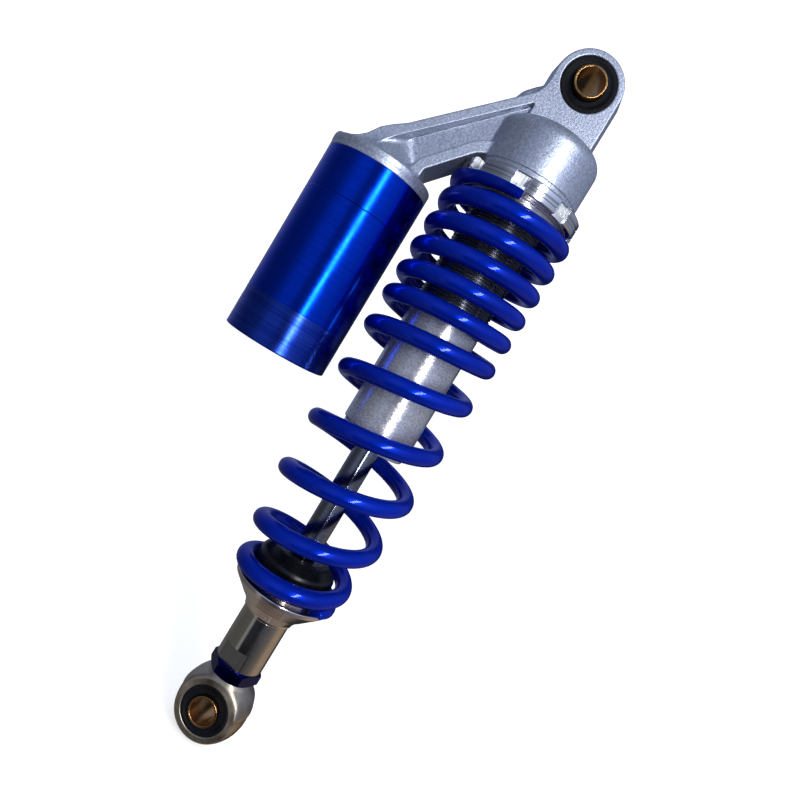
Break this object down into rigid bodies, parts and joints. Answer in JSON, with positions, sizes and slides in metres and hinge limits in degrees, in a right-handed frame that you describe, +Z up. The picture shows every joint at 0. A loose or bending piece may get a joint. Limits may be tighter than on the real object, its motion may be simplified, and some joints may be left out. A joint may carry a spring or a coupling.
{
  "type": "strut assembly",
  "caption": "Rear shock absorber strut with a side gas reservoir, a threaded spring collar, a dual-rate coil spring, a sliding chromed rod and rubber-bushed eyes.",
  "frame": {"origin": "centre of the upper eye's sleeve bore", "axes": "+Z up along the damper axis, +Y along the upper eye's bore, reservoir on the -X side"},
  "size_m": [0.1148, 0.0624, 0.3533],
  "materials": {
    "cast_aluminium": "fine-grained die casting, satin silver",
    "rubber": "matt black",
    "yellow_zinc_steel": "yellow passivated zinc plate",
    "turned_aluminium": "turned, natural",
    "blue_anodised": "bright blue anodised, fine turning marks",
    "dark_blue_anodised": "deep blue anodised",
    "polished_aluminium": "polished",
    "gloss_blue_paint": "high gloss royal blue",
    "hard_chrome": "hard chrome, ground",
    "polished_steel": "polished and plated",
    "steel": "ground",
    "bronze": "sintered bronze",
    "brass": "machined",
    "black_plastic": "black"
  },
  "bodies": {
    "damper_body": {"head_casting": "cast_aluminium", "upper_bush": "rubber", "damper_tube": "turned_aluminium", "tube_o_ring": "rubber", "rod_guide": "turned_aluminium", "guide_o_ring": "rubber", "guide_circlip": "steel", "guide_bush": "bronze", "rod_seal": "rubber", "dust_wiper": "rubber", "reservoir_tube": "blue_anodised", "reservoir_top_o_ring": "rubber", "reservoir_end_cap": "blue_anodised", "end_cap_o_ring": "rubber", "end_cap_circlip": "steel", "gas_valve": "brass", "valve_cap": "black_plastic", "coil_spring": "gloss_blue_paint"},
    "upper_sleeve_body": {"upper_sleeve": "yellow_zinc_steel"},
    "spring_perch": {"upper_spring_seat": "polished_aluminium"},
    "collar": {"preload_collar": "polished_aluminium"},
    "rod_assembly": {"piston_rod": "hard_chrome", "top_out_bumper": "rubber", "lower_piston_washer": "steel", "rebound_shims": "steel", "piston": "turned_aluminium", "piston_band": "black_plastic", "compression_shims": "steel", "upper_piston_washer": "steel", "piston_nut": "steel", "bump_stop": "rubber", "lower_spring_seat": "hard_chrome", "lower_barrel": "polished_steel"},
    "jam_nut_body": {"jam_nut": "dark_blue_anodised"},
    "lower_eye_body": {"lower_eye": "polished_steel", "lower_bush": "rubber"},
    "lower_sleeve_body": {"lower_sleeve": "yellow_zinc_steel"},
    "separator": {"floating_piston": "turned_aluminium", "floating_piston_o_ring": "rubber", "floating_piston_band": "black_plastic"}
  },
  "joints": [
    {"name": "upper_sleeve_twist", "type": "hinge", "parent": "damper_body", "child": "upper_sleeve_body", "pos_m": [0, 0, 0], "axis": [0, 1, 0], "range_deg": [-12, 12], "stiffness_Nm_per_rad": 5},
    {"name": "preload_travel", "type": "slide", "parent": "damper_body", "child": "spring_perch", "axis": [0, 0, 1], "range_m": [-0.0091, 0.0003], "deforming": ["coil_spring"]},
    {"name": "preload_turn", "type": "hinge", "parent": "spring_perch", "child": "collar", "pos_m": [0, 0, -0.055], "axis": [0, 0, 1], "range_deg": [-2160, 60]},
    {"name": "rod_slide", "type": "slide", "parent": "damper_body", "child": "rod_assembly", "axis": [0, 0, 1], "range_m": [0, 0.058], "stiffness_N_per_m": 25000, "springref_m": -0.005, "deforming": ["coil_spring", "bump_stop"]},
    {"name": "jam_nut_turn", "type": "hinge", "parent": "rod_assembly", "child": "jam_nut_body", "pos_m": [0, 0, -0.2998], "axis": [0, 0, 1], "range_deg": [-90, 90]},
    {"name": "lower_eye_turn", "type": "hinge", "parent": "rod_assembly", "child": "lower_eye_body", "pos_m": [0, 0, -0.32], "axis": [0, 0, 1], "range_deg": [-90, 90]},
    {"name": "lower_sleeve_twist", "type": "hinge", "parent": "lower_eye_body", "child": "lower_sleeve_body", "pos_m": [0, 0, -0.32], "axis": [0.1908, 0.9816, 0], "range_deg": [-12, 12], "stiffness_Nm_per_rad": 5},
    {"name": "separator_travel", "type": "slide", "parent": "damper_body", "child": "separator", "axis": [0, 0, -1], "range_m": [0, 0.0048]}
  ],
  "couplings": [
    {"joint": "preload_travel", "follows": "preload_turn", "m_per_rad": 0.00023873},
    {"joint": "separator_travel", "follows": "rod_slide", "ratio": 0.081633}
  ]
}
